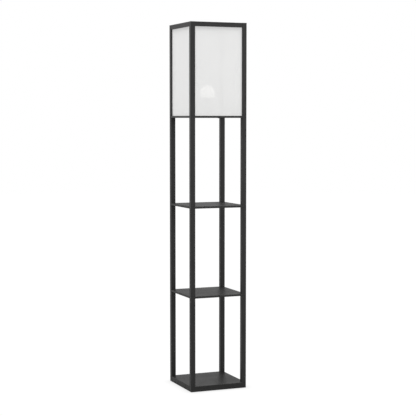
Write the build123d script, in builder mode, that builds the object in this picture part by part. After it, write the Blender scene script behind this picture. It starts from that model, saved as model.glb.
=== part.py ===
from build123d import *
from math import asin, degrees
import os

# A square tower floor lamp: a base, two open shelves and a tall opal shade on top.
# Full-square boards lie between short square posts, and studs clamp each bay to the next.
# Millimetres, +Z up, origin on the floor under the middle of the base.

os.makedirs("parts", exist_ok=True)

# Woodwork
side = 260.0  # outside width and depth of every board
post_width = 20.0
base_thick = 24.0
shelf_thick = 9.0
deck_thick = 9.0  # board that carries the lampholder
lower_bay = 385.0  # clear height from the base to the lower shelf
shelf_bay = 381.0  # clear height of each bay above a shelf
shade_height = 401.0
rail_height = 20.0
arris = 0.6  # easing of the long wooden edges

# Shade panels and the grooves that hold them
panel_thick = 2.0
panel_inset = 6.5  # from the outside of the posts to the panel's face
panel_play = 0.2
post_groove = 4.0
rail_groove = 3.0
deck_groove = 2.0

# Mitred tenons between the top rails and the shade posts
tenon_thick = 6.0
tenon_height = 10.0
tenon_rise = 5.5  # from the underside of the rail
tenon_play = 0.2
mitre_gap = 0.4

# Studs, inserts and base bolts; hidden threads and their holes are drawn with few sides
thread_radius = 3.0
thread_sides = 8
thread_play = 0.1
board_hole_play = 0.3
insert_wall = 1.4
insert_length = 13.0
insert_recess = 0.3
pocket_room = 1.7  # left above the insert
stud_seat = 18.0  # length glued into the top of a post
thread_reach = 11.0  # length of thread above a board
bolt_head_radius = 6.0
bolt_head_height = 3.6
bolt_sink = 2.4  # from the underside of the base to the head
bolt_recess_play = 0.6
hex_socket = 4.0
hex_depth = 2.2

# Floor pads, half sunk in the base
pad_side = 18.0
pad_thick = 2.0
pad_proud = 1.0
pad_inset = 32.0  # from the outside of the base to the pad's middle

# Play between pieces of the lampholder and the bulb
fit_play = 0.2
turning_play = 0.1
contact_gap = 0.3

# Bulb, heights counted from its tip
tip_radius = 4.6
tip_height = 1.4
tip_stub_radius = 2.4
tip_stub_length = 2.0
glass_foot_radius = 5.4
glass_cone_height = 3.7
glass_rim_height = 2.8
cap_radius = 13.1
cap_length = 21.2
cap_wall = 0.4
cap_lip = 2.0
neck_length = 8.6
neck_wall = 1.4
collar_step = 1.1
collar_height = 2.4
housing_length = 31.4  # from the screw cap to the dome
housing_rim = 4.0  # upright part of the flank below the dome
housing_wall = 1.6
housing_bow = 1.2  # how far the flank bows inwards
dome_radius = 33.0
dome_skirt = 19.0  # from the housing's rim up to the widest ring of the dome
dome_wall = 1.4
led_board_sink = 3.0  # from the housing's rim down to the board
led_board_thick = 1.6
led_ledge = 1.6
led_count = 12
led_ring = 16.0
led_size = 3.0
led_thick = 0.7
driver_thick = 1.2
driver_length = 40.0
driver_drop = 6.0  # how far it hangs below the neck
capacitor_radius = 4.0
capacitor_length = 10.0
choke_size = 7.0

# Lampholder, heights counted from the top of the deck
thread_room = 0.4  # between the bulb's cap and the brass sleeve
brass_wall = 0.4
brass_length = 20.1
brass_drop = 3.0  # how far the sleeve starts below the bulb's cap
core_wall = 2.8
core_foot_step = 1.3
core_floor_thick = 10.0
core_lip = 1.5  # core above the brass sleeve
core_throat = 11.5
flange_reach = 9.0
flange_thick = 3.0
ledge_height = 9.0
ledge_width = 2.9
cup_rim_wall = 1.2
cup_rim_height = 4.0
cup_wall_height = 12.0
port_radius = 3.4
port_turn = 45.0  # the port faces the cord outlet
shell_wall = 2.2
shell_overhang = 1.0
shell_room = 1.1
shell_rim_wall = 2.6
shell_rim_thick = 3.7
shell_mouth_room = 1.0
shell_bevel = 1.0
notch_count = 20
notch_depth = 0.8
notch_width = 1.6
notch_length = 16.0
screw_radius = 1.75
screw_length = 7.0  # in the deck
screw_head_radius = 3.4
screw_head_height = 2.2
tongue_width = 8.0
tongue_thick = 0.5
tongue_rise = 3.7
terminal_spread = 9.0
terminal_radius = 1.5
terminal_length = 6.0
terminal_head_radius = 3.0
terminal_head_height = 2.0

# Cord outlet through the deck, in the rear right corner of the shade
outlet_inset = 33.0  # from the outside of the deck
outlet_radius = 3.5
grommet_wall = 1.5
grommet_lip = 2.5
grommet_lip_thick = 1.5
grommet_bevel = 0.5

# Levels and centre lines of the woodwork
half = side / 2
inner_face = half - post_width
post_centre = half - post_width / 2
panel_line = half - panel_inset - panel_thick / 2
groove_width = panel_thick + 2 * panel_play
base_top = pad_proud + base_thick
lower_shelf_low = base_top + lower_bay
lower_shelf_top = lower_shelf_low + shelf_thick
upper_shelf_low = lower_shelf_top + shelf_bay
upper_shelf_top = upper_shelf_low + shelf_thick
deck_low = upper_shelf_top + shelf_bay
deck_top = deck_low + deck_thick
lamp_top = deck_top + shade_height
rail_low = lamp_top - rail_height
tenon_low = rail_low + tenon_rise
insert_radius = thread_radius + thread_play + insert_wall
pocket_depth = insert_recess + insert_length + pocket_room
corners = {"fl": (-1, -1), "fr": (1, -1), "rl": (-1, 1), "rr": (1, 1)}
corner_points = [(sx * post_centre, sy * post_centre) for sx, sy in corners.values()]
tiers = {
    "lower": (base_top, lower_shelf_low, shelf_thick),
    "middle": (lower_shelf_top, upper_shelf_low, shelf_thick),
    "upper": (upper_shelf_top, deck_low, deck_thick),
}
# Each side of the shade is the front one turned about the lamp's axis
shade_sides = {"front": 0, "right": 90, "back": 180, "left": 270}


def save(piece, name):
    piece.part.label = name
    export_step(piece.part, f"parts/{name}.step")


# Base board: sunk bolt holes and pad seats are cut from beneath
pad_place = half - pad_inset
pad_points = [(sx * pad_place, sy * pad_place) for sx, sy in corners.values()]
bolt_recess_depth = bolt_sink + bolt_head_height
with BuildPart() as base_board:
    with BuildSketch(Plane.XY.offset(pad_proud)):
        Rectangle(side, side)
    extrude(amount=base_thick)
    chamfer(base_board.edges(), arris)
    with BuildSketch(Plane.XY.offset(pad_proud)):
        with Locations(*corner_points):
            RegularPolygon(thread_radius + board_hole_play, thread_sides)
    extrude(amount=base_thick, mode=Mode.SUBTRACT)
    with BuildSketch(Plane.XY.offset(pad_proud)):
        with Locations(*corner_points):
            Circle(bolt_head_radius + bolt_recess_play)
    extrude(amount=bolt_recess_depth, mode=Mode.SUBTRACT)
    with BuildSketch(Plane.XY.offset(pad_proud)):
        with Locations(*pad_points):
            Rectangle(pad_side + 2 * fit_play, pad_side + 2 * fit_play)
    extrude(amount=pad_thick - pad_proud, mode=Mode.SUBTRACT)
save(base_board, "base_board")

with BuildPart() as floor_pads:
    with BuildSketch():
        with Locations(*pad_points):
            Rectangle(pad_side, pad_side)
    extrude(amount=pad_thick)
save(floor_pads, "floor_pads")

# Shelves: plain boards with a stud hole in each corner
for name, low in (("lower_shelf", lower_shelf_low), ("upper_shelf", upper_shelf_low)):
    with BuildPart() as shelf:
        with BuildSketch(Plane.XY.offset(low)):
            Rectangle(side, side)
        extrude(amount=shelf_thick)
        chamfer(shelf.edges(), arris)
        with BuildSketch(Plane.XY.offset(low)):
            with Locations(*corner_points):
                RegularPolygon(thread_radius + board_hole_play, thread_sides)
        extrude(amount=shelf_thick, mode=Mode.SUBTRACT)
    save(shelf, name)

# Widths of the lampholder, counted outwards from the bulb's screw cap
brass_inner = cap_radius + thread_room
brass_radius = brass_inner + brass_wall
core_ring_inner = brass_radius + fit_play
core_ring_outer = core_ring_inner + core_wall
core_foot_radius = core_ring_outer + core_foot_step
cup_rim_inner = core_foot_radius + fit_play
cup_rim_outer = cup_rim_inner + cup_rim_wall
shell_socket = cup_rim_outer + fit_play
shell_foot_radius = shell_socket + shell_wall
cup_radius = shell_foot_radius - shell_overhang
flange_radius = cup_radius + flange_reach
screw_spread = cup_radius + flange_reach / 2
screw_points = [(-screw_spread, 0), (screw_spread, 0)]
outlet_place = half - outlet_inset
sleeve_radius = outlet_radius + grommet_wall

# Lamp deck: the same board with panel grooves, screw holes and the cord outlet
with BuildPart() as lamp_deck:
    with BuildSketch(Plane.XY.offset(deck_low)):
        Rectangle(side, side)
    extrude(amount=deck_thick)
    chamfer(lamp_deck.edges(), arris)
    with BuildSketch(Plane.XY.offset(deck_low)):
        with Locations(*corner_points):
            RegularPolygon(thread_radius + board_hole_play, thread_sides)
        with Locations((outlet_place, outlet_place)):
            Circle(sleeve_radius + fit_play)
    extrude(amount=deck_thick, mode=Mode.SUBTRACT)
    with BuildSketch(Plane.XY.offset(deck_top)):
        with Locations((0, -panel_line), (0, panel_line)):
            Rectangle(2 * (inner_face + post_groove), groove_width)
        with Locations((-panel_line, 0), (panel_line, 0)):
            Rectangle(groove_width, 2 * (inner_face + post_groove))
    extrude(amount=-deck_groove, mode=Mode.SUBTRACT)
    with BuildSketch(Plane.XY.offset(deck_top)):
        with Locations(*screw_points):
            RegularPolygon(screw_radius, thread_sides)
    extrude(amount=-screw_length, mode=Mode.SUBTRACT)
save(lamp_deck, "lamp_deck")

# Plain posts: an insert pocket in the foot, a stud hole in the top
for tier, (low, high, _) in tiers.items():
    for corner, (sx, sy) in corners.items():
        middle = (sx * post_centre, sy * post_centre)
        with BuildPart() as post:
            with BuildSketch(Plane.XY.offset(low)):
                with Locations(middle):
                    Rectangle(post_width, post_width)
            extrude(amount=high - low)
            chamfer(post.edges().filter_by(Axis.Z), arris)
            with BuildSketch(Plane.XY.offset(low)):
                with Locations(middle):
                    RegularPolygon(insert_radius, thread_sides)
            extrude(amount=pocket_depth, mode=Mode.SUBTRACT)
            with BuildSketch(Plane.XY.offset(high)):
                with Locations(middle):
                    RegularPolygon(thread_radius, thread_sides)
            extrude(amount=-stud_seat, mode=Mode.SUBTRACT)
        save(post, f"{tier}_post_{corner}")

# Shade posts: stopped grooves for two panels, and two mortises that meet on the diagonal
groove_place = inner_face + post_groove / 2
mortise_width = tenon_thick + 2 * tenon_play
mortise_depth = post_centre + mortise_width / 2 - inner_face
mortise_place = inner_face + mortise_depth / 2
for corner, (sx, sy) in corners.items():
    middle = (sx * post_centre, sy * post_centre)
    with BuildPart() as shade_post:
        with BuildSketch(Plane.XY.offset(deck_top)):
            with Locations(middle):
                Rectangle(post_width, post_width)
        extrude(amount=shade_height)
        chamfer(shade_post.edges().filter_by(Axis.Z), arris)
        with BuildSketch(Plane.XY.offset(deck_top)):
            with Locations(middle):
                RegularPolygon(insert_radius, thread_sides)
        extrude(amount=pocket_depth, mode=Mode.SUBTRACT)
        with BuildSketch(Plane.XY.offset(deck_top)):
            with Locations((sx * groove_place, sy * panel_line)):
                Rectangle(post_groove, groove_width)
            with Locations((sx * panel_line, sy * groove_place)):
                Rectangle(groove_width, post_groove)
        extrude(amount=shade_height - rail_height + rail_groove, mode=Mode.SUBTRACT)
        with BuildSketch(Plane.XY.offset(tenon_low - tenon_play)):
            with Locations((sx * mortise_place, sy * post_centre)):
                Rectangle(mortise_depth, mortise_width)
            with Locations((sx * post_centre, sy * mortise_place)):
                Rectangle(mortise_width, mortise_depth)
        extrude(amount=tenon_height + 2 * tenon_play, mode=Mode.SUBTRACT)
    save(shade_post, f"shade_post_{corner}")

# Top rails: grooved beneath, with a mitred tenon on each end
tenon_inner = post_centre - tenon_thick / 2
tenon_outer = post_centre + tenon_thick / 2
for name, turn in shade_sides.items():
    place = Plane.XY.rotated((0, 0, turn))
    with BuildPart() as top_rail:
        with BuildSketch(place.offset(rail_low)):
            with Locations((0, -post_centre)):
                Rectangle(2 * inner_face, post_width)
        extrude(amount=rail_height)
        chamfer(top_rail.edges().group_by(SortBy.LENGTH)[-1], arris)
        with BuildSketch(place.offset(rail_low)):
            with Locations((0, -panel_line)):
                Rectangle(2 * inner_face, groove_width)
        extrude(amount=rail_groove, mode=Mode.SUBTRACT)
        with BuildSketch(place.offset(tenon_low)):
            Polygon(
                (-tenon_inner + mitre_gap, -tenon_inner),
                (-tenon_outer + mitre_gap, -tenon_outer),
                (tenon_outer - mitre_gap, -tenon_outer),
                (tenon_inner - mitre_gap, -tenon_inner),
                align=None,
            )
        extrude(amount=tenon_height)
    save(top_rail, f"top_rail_{name}")

# Studs: glued into the tops of the plain posts, they pass through the board above
with BuildPart() as post_studs:
    for _, high, board in tiers.values():
        with BuildSketch(Plane.XY.offset(high - stud_seat)):
            with Locations(*corner_points):
                RegularPolygon(thread_radius, thread_sides)
        extrude(amount=stud_seat + board + thread_reach)
save(post_studs, "post_studs")

# Inserts: threaded sleeves in the foot of every post
with BuildPart() as thread_inserts:
    for foot in (base_top, lower_shelf_top, upper_shelf_top, deck_top):
        with BuildSketch(Plane.XY.offset(foot + insert_recess)):
            with Locations(*corner_points):
                RegularPolygon(insert_radius, thread_sides)
            with Locations(*corner_points):
                RegularPolygon(thread_radius + thread_play, thread_sides, mode=Mode.SUBTRACT)
        extrude(amount=insert_length)
save(thread_inserts, "thread_inserts")

# Base bolts: sunk round heads with a hexagon socket
head_low = pad_proud + bolt_sink
with BuildPart() as base_bolts:
    with BuildSketch(Plane.XY.offset(head_low)):
        with Locations(*corner_points):
            Circle(bolt_head_radius)
    extrude(amount=bolt_head_height)
    with BuildSketch(Plane.XY.offset(pad_proud + bolt_recess_depth)):
        with Locations(*corner_points):
            RegularPolygon(thread_radius, thread_sides)
    extrude(amount=base_thick - bolt_recess_depth + thread_reach)
    with BuildSketch(Plane.XY.offset(head_low)):
        with Locations(*corner_points):
            RegularPolygon(hex_socket / 2, 6, major_radius=False)
    extrude(amount=hex_depth, mode=Mode.SUBTRACT)
save(base_bolts, "base_bolts")

# Shade panels: stiff opal sheets that stand in the grooves of posts, rails and deck
panel_width = 2 * (inner_face + post_groove - panel_play)
panel_low = deck_top - deck_groove + panel_play
panel_high = rail_low + rail_groove - panel_play
for name, turn in shade_sides.items():
    with BuildPart() as shade_panel:
        with BuildSketch(Plane.XY.rotated((0, 0, turn)).offset(panel_low)):
            with Locations((0, -panel_line)):
                Rectangle(panel_width, panel_thick)
        extrude(amount=panel_high - panel_low)
    save(shade_panel, f"shade_panel_{name}")

# Levels of the lampholder and of the bulb's lower end
core_floor = ledge_height + core_floor_thick
cup_height = cup_wall_height + cup_rim_height
glass_low = tip_height + turning_play
cap_low = glass_low + glass_cone_height + fit_play
cap_top = cap_low + cap_length
bulb_seat = core_floor + tongue_rise + contact_gap
brass_low = bulb_seat + cap_low - brass_drop
brass_top = brass_low + brass_length
core_top = brass_top + core_lip
shell_low = cup_wall_height + contact_gap
shell_shoulder = cup_height + contact_gap
shell_lip = core_top + contact_gap
shell_top = shell_lip + shell_rim_thick
holder_plane = Plane(origin=(0, 0, deck_top), x_dir=(1, 0, 0), z_dir=(0, -1, 0))

# Lampholder base: a flanged cup with a ledge for the core and a side port for the cord
ledge_radius = cup_rim_inner - ledge_width
port_level = deck_top + flange_thick + port_radius + fit_play
port_side = Vector(1, 0, 0).rotate(Axis.Z, port_turn)
with BuildPart() as holder_base:
    with BuildSketch(holder_plane):
        Polygon(
            (0, 0),
            (flange_radius, 0),
            (flange_radius, flange_thick / 2),
            (flange_radius - flange_thick / 2, flange_thick),
            (cup_radius, flange_thick),
            (cup_radius, cup_wall_height),
            (cup_rim_outer, cup_wall_height),
            (cup_rim_outer, cup_height),
            (cup_rim_inner, cup_height),
            (cup_rim_inner, ledge_height),
            (ledge_radius, ledge_height),
            (ledge_radius, flange_thick),
            (0, flange_thick),
            align=None,
        )
    revolve(axis=Axis.Z)
    with BuildSketch(Plane.XY.offset(deck_top)):
        with Locations(*screw_points):
            RegularPolygon(screw_radius + thread_play, thread_sides)
    extrude(amount=flange_thick, mode=Mode.SUBTRACT)
    with BuildSketch(Plane(origin=(0, 0, port_level), z_dir=port_side)):
        Circle(port_radius)
    extrude(amount=flange_radius, mode=Mode.SUBTRACT)
save(holder_base, "holder_base")

with BuildPart() as holder_screws:
    with BuildSketch(Plane.XY.offset(deck_top - screw_length)):
        with Locations(*screw_points):
            RegularPolygon(screw_radius, thread_sides)
    extrude(amount=screw_length + flange_thick)
    with BuildSketch(Plane.XY.offset(deck_top + flange_thick)):
        with Locations(*screw_points):
            Circle(screw_head_radius)
    extrude(amount=screw_head_height)
    chamfer(holder_screws.edges().group_by(Axis.Z)[-1], screw_head_height / 2)
save(holder_screws, "holder_screws")

# Core: the insulator that carries the contacts, resting on the cup's ledge
terminal_points = [(0, -terminal_spread), (0, terminal_spread)]
with BuildPart() as holder_core:
    with BuildSketch(holder_plane):
        Polygon(
            (0, ledge_height),
            (core_foot_radius, ledge_height),
            (core_foot_radius, cup_height),
            (core_ring_outer, cup_height),
            (core_ring_outer, core_top),
            (core_ring_inner, core_top),
            (core_ring_inner, brass_low),
            (core_throat, brass_low),
            (core_throat, core_floor),
            (0, core_floor),
            align=None,
        )
    revolve(axis=Axis.Z)
    with BuildSketch(Plane.XY.offset(deck_top + ledge_height)):
        with Locations(*terminal_points):
            RegularPolygon(terminal_radius, thread_sides)
    extrude(amount=terminal_length, mode=Mode.SUBTRACT)
save(holder_core, "holder_core")

with BuildPart() as terminal_screws:
    with BuildSketch(Plane.XY.offset(deck_top + ledge_height)):
        with Locations(*terminal_points):
            RegularPolygon(terminal_head_radius, thread_sides)
    extrude(amount=-terminal_head_height)
    with BuildSketch(Plane.XY.offset(deck_top + ledge_height)):
        with Locations(*terminal_points):
            RegularPolygon(terminal_radius, thread_sides)
    extrude(amount=terminal_length)
save(terminal_screws, "terminal_screws")

# Shell: the notched outer sleeve that screws on to the cup and holds the core down
shell_inner = core_ring_outer + shell_room
shell_rim_radius = shell_inner + shell_rim_wall
shell_mouth = cap_radius + collar_step + shell_mouth_room
with BuildPart() as holder_shell:
    with BuildSketch(holder_plane):
        Polygon(
            (shell_socket, shell_low),
            (shell_foot_radius, shell_low),
            (shell_rim_radius, shell_top - shell_bevel),
            (shell_rim_radius - shell_bevel, shell_top),
            (shell_mouth, shell_top),
            (shell_mouth, shell_lip),
            (shell_inner, shell_lip),
            (shell_inner, shell_shoulder),
            (shell_socket, shell_shoulder),
            align=None,
        )
    revolve(axis=Axis.Z)
    with BuildSketch(Plane.XY.offset(deck_top + shell_shoulder)):
        with PolarLocations(shell_foot_radius, notch_count):
            Rectangle(2 * notch_depth, notch_width)
    extrude(amount=notch_length, mode=Mode.SUBTRACT)
save(holder_shell, "holder_shell")

# Threaded contact: the brass sleeve that the bulb screws into
with BuildPart() as thread_contact:
    with BuildSketch(holder_plane):
        Polygon(
            (core_throat, brass_low),
            (brass_radius, brass_low),
            (brass_radius, brass_top),
            (brass_inner, brass_top),
            (brass_inner, brass_low + brass_wall),
            (core_throat, brass_low + brass_wall),
            align=None,
        )
    revolve(axis=Axis.Z)
save(thread_contact, "thread_contact")

# Centre contact: a springy tongue, flat on the core's floor and rising to the bulb's tip
tongue_low = core_floor + tongue_rise - tongue_thick
tongue_end = core_throat - fit_play - tongue_thick
with BuildPart() as centre_contact:
    with BuildSketch(holder_plane.offset(-tongue_width / 2)):
        with BuildLine():
            Polyline(
                (-tongue_end, core_floor),
                (-tongue_end / 2, core_floor),
                (-tip_stub_radius, tongue_low),
                (tip_stub_radius, tongue_low),
                (tip_radius, tongue_low - tongue_thick),
            )
            offset(amount=tongue_thick, side=Side.LEFT)
        make_face()
    extrude(amount=tongue_width)
save(centre_contact, "centre_contact")

# Cord outlet: a rubber grommet snapped into the deck
lip_radius = sleeve_radius + grommet_lip
lip_top = deck_thick + grommet_lip_thick
with BuildPart() as cord_grommet:
    with BuildSketch(Plane((outlet_place, outlet_place, deck_low), (1, 0, 0), (0, -1, 0))):
        Polygon(
            (outlet_radius, -grommet_lip_thick),
            (lip_radius - grommet_bevel, -grommet_lip_thick),
            (lip_radius, -grommet_lip_thick + grommet_bevel),
            (lip_radius, 0),
            (sleeve_radius, 0),
            (sleeve_radius, deck_thick),
            (lip_radius, deck_thick),
            (lip_radius, lip_top - grommet_bevel),
            (lip_radius - grommet_bevel, lip_top),
            (outlet_radius, lip_top),
            align=None,
        )
    revolve(axis=Axis((outlet_place, outlet_place, 0), (0, 0, 1)))
save(cord_grommet, "cord_grommet")

# Levels and widths of the bulb
bulb_level = deck_top + bulb_seat
bulb_plane = Plane(origin=(0, 0, bulb_level), x_dir=(1, 0, 0), z_dir=(0, -1, 0))
stub_top = tip_height + tip_stub_length
stub_hole = tip_stub_radius + turning_play
glass_radius = cap_radius - cap_lip - fit_play
glass_cone_top = glass_low + glass_cone_height
cap_inner = cap_radius - cap_wall
neck_radius = cap_inner - turning_play
neck_inner = neck_radius - neck_wall
neck_low = cap_top - neck_length
collar_low = cap_top + turning_play
collar_radius = cap_radius + collar_step
collar_top = cap_top + collar_height
dome_joint = cap_top + housing_length
flank_top = dome_joint - housing_rim
dome_centre = dome_joint + dome_skirt
joint_radius = (dome_radius**2 - dome_skirt**2) ** 0.5
led_board_radius = joint_radius - housing_wall - fit_play
led_board_low = dome_joint - led_board_sink
ledge_inner = led_board_radius - led_ledge

# Bulb tip: the soldered button that meets the centre contact
with BuildPart() as cap_contact:
    with BuildSketch(bulb_plane):
        Polygon(
            (0, 0),
            (tip_radius / 2, 0),
            (tip_radius, tip_height / 2),
            (tip_radius, tip_height),
            (tip_stub_radius, tip_height),
            (tip_stub_radius, stub_top),
            (0, stub_top),
            align=None,
        )
    revolve(axis=Axis.Z)
save(cap_contact, "cap_contact")

# Bulb insulator: black glass between the tip and the screw cap
with BuildPart() as cap_insulator:
    with BuildSketch(bulb_plane):
        Polygon(
            (stub_hole, glass_low),
            (glass_foot_radius, glass_low),
            (glass_radius, glass_cone_top),
            (glass_radius, glass_cone_top + glass_rim_height),
            (0, glass_cone_top + glass_rim_height),
            (0, stub_top + turning_play),
            (stub_hole, stub_top + turning_play),
            align=None,
        )
    revolve(axis=Axis.Z)
save(cap_insulator, "cap_insulator")

# Screw cap: a thin nickelled shell, turned in at the bottom to hold the glass
with BuildPart() as bulb_screw_cap:
    with BuildSketch(bulb_plane):
        Polygon(
            (cap_radius - cap_lip, cap_low),
            (cap_radius - 2 * cap_wall, cap_low),
            (cap_radius, cap_low + 2 * cap_wall),
            (cap_radius, cap_top),
            (cap_inner, cap_top),
            (cap_inner, cap_low + 2 * cap_wall),
            (cap_inner - cap_wall, cap_low + cap_wall),
            (cap_radius - cap_lip, cap_low + cap_wall),
            align=None,
        )
    revolve(axis=Axis.Z)
save(bulb_screw_cap, "bulb_screw_cap")

# Housing: a moulded flared shell from the screw cap up to the dome
flank_middle = ((collar_radius + joint_radius) / 2 - housing_bow, (collar_top + flank_top) / 2)
ledge_foot = (ledge_inner, led_board_low - housing_wall)
with BuildPart() as bulb_housing:
    with BuildSketch(bulb_plane):
        with BuildLine():
            ThreePointArc((collar_radius, collar_top), flank_middle, (joint_radius, flank_top))
            Polyline(
                (joint_radius, flank_top),
                (joint_radius, dome_joint),
                (led_board_radius + fit_play, dome_joint),
                (led_board_radius + fit_play, led_board_low),
                (ledge_inner, led_board_low),
                ledge_foot,
            )
            ThreePointArc(
                ledge_foot,
                (flank_middle[0] - housing_wall, flank_middle[1]),
                (collar_radius - housing_wall, collar_top),
            )
            Polyline(
                (collar_radius - housing_wall, collar_top),
                (neck_inner, cap_top),
                (neck_inner, neck_low),
                (neck_radius, neck_low),
                (neck_radius, collar_low),
                (collar_radius, collar_low),
                (collar_radius, collar_top),
            )
        make_face()
    revolve(axis=Axis.Z)
save(bulb_housing, "bulb_housing")

with BuildPart() as led_board:
    with BuildSketch(Plane.XY.offset(bulb_level + led_board_low)):
        Circle(led_board_radius)
    extrude(amount=led_board_thick)
save(led_board, "led_board")

with BuildPart() as led_chips:
    with BuildSketch(Plane.XY.offset(bulb_level + led_board_low + led_board_thick)):
        with PolarLocations(led_ring, led_count):
            Rectangle(led_size, led_size)
    extrude(amount=led_thick)
save(led_chips, "led_chips")

# Driver: an upright circuit board held in the neck, with its capacitor and choke
driver_low = bulb_level + neck_low - driver_drop
driver_middle = driver_low + driver_length / 2
with BuildPart() as driver_board:
    with BuildSketch(Plane.XY.offset(driver_low)):
        Rectangle(2 * (neck_inner - fit_play), driver_thick)
    extrude(amount=driver_length)
    with BuildSketch(Plane((0, driver_thick / 2, driver_middle + choke_size), z_dir=(0, 1, 0))):
        Circle(capacitor_radius)
    extrude(amount=capacitor_length)
    with BuildSketch(Plane((0, -driver_thick / 2, driver_middle + choke_size), z_dir=(0, -1, 0))):
        Rectangle(choke_size, choke_size)
    extrude(amount=choke_size)
save(driver_board, "driver_board")

# Dome: the round opal cover that stands on the housing's rim
dome_inner = dome_radius - dome_wall
outer_start = -degrees(asin(dome_skirt / dome_radius))
inner_start = -degrees(asin(dome_skirt / dome_inner))
with BuildPart() as bulb_dome:
    with BuildSketch(bulb_plane):
        with BuildLine():
            outside = CenterArc((0, dome_centre), dome_radius, outer_start, 90 - outer_start)
            inside = CenterArc((0, dome_centre), dome_inner, inner_start, 90 - inner_start)
            Line(outside @ 0, inside @ 0)
            Line(outside @ 1, inside @ 1)
        make_face()
    revolve(axis=Axis.Z)
save(bulb_dome, "bulb_dome")
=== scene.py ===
# Looks of the tower floor lamp: black satin woodwork, a lit opal shade, and the
# lampholder and bulb inside it. The file follows the lamp from the floor upwards.

import math

import bpy
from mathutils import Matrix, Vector


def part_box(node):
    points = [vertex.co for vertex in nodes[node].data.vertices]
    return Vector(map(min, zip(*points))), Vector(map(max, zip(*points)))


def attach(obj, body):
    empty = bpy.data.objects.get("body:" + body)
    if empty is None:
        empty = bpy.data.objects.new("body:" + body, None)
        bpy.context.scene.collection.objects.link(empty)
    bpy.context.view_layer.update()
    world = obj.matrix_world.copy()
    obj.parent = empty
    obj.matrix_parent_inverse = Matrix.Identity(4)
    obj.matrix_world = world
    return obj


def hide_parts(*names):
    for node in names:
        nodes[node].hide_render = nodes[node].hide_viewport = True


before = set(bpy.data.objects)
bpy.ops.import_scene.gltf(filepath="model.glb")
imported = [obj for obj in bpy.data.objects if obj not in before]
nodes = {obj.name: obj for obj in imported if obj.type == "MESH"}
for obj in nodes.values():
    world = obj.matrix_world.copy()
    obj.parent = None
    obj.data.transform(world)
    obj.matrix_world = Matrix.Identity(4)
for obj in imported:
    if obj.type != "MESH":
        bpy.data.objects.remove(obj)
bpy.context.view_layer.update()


# ---- Viewpoint ---------------------------------------------------------------------
# A long lens at chest height, left of the front and tilted down by a few degrees.
lens_length = 106.51
film_width = 36.0
lens_place = (-2.0599, -5.0377, 1.1866)
lens_turn = 22.260
lens_tilt = 4.150
bpy.ops.object.select_all(action="DESELECT")
bpy.ops.object.camera_add(
    location=lens_place,
    rotation=(math.radians(90 - lens_tilt), 0, math.radians(-lens_turn)),
)
camera = bpy.context.object
camera.name = "photograph_camera"
camera.data.lens = lens_length
camera.data.sensor_width = film_width
camera.data.clip_end = 60.0
bpy.context.scene.camera = camera


# ---- Base board --------------------------------------------------------------------
# A 24 mm board of black lacquered engineered wood. Its grain runs from left to right.
# Bolts come up through it into the four lowest posts, and soft pads are let in beneath.
mm = 0.001
across, deep, upright = 0, 1, 2
grain_pitch = 260.0  # streaks in a metre across the grain
grain_stretch = 26.0  # how much longer than wide a streak is
lacquer_dark = (0.0150, 0.0148, 0.0148, 1)
lacquer_light = (0.0345, 0.0338, 0.0332, 1)
lacquer_gloss = (0.31, 0.45)


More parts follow.
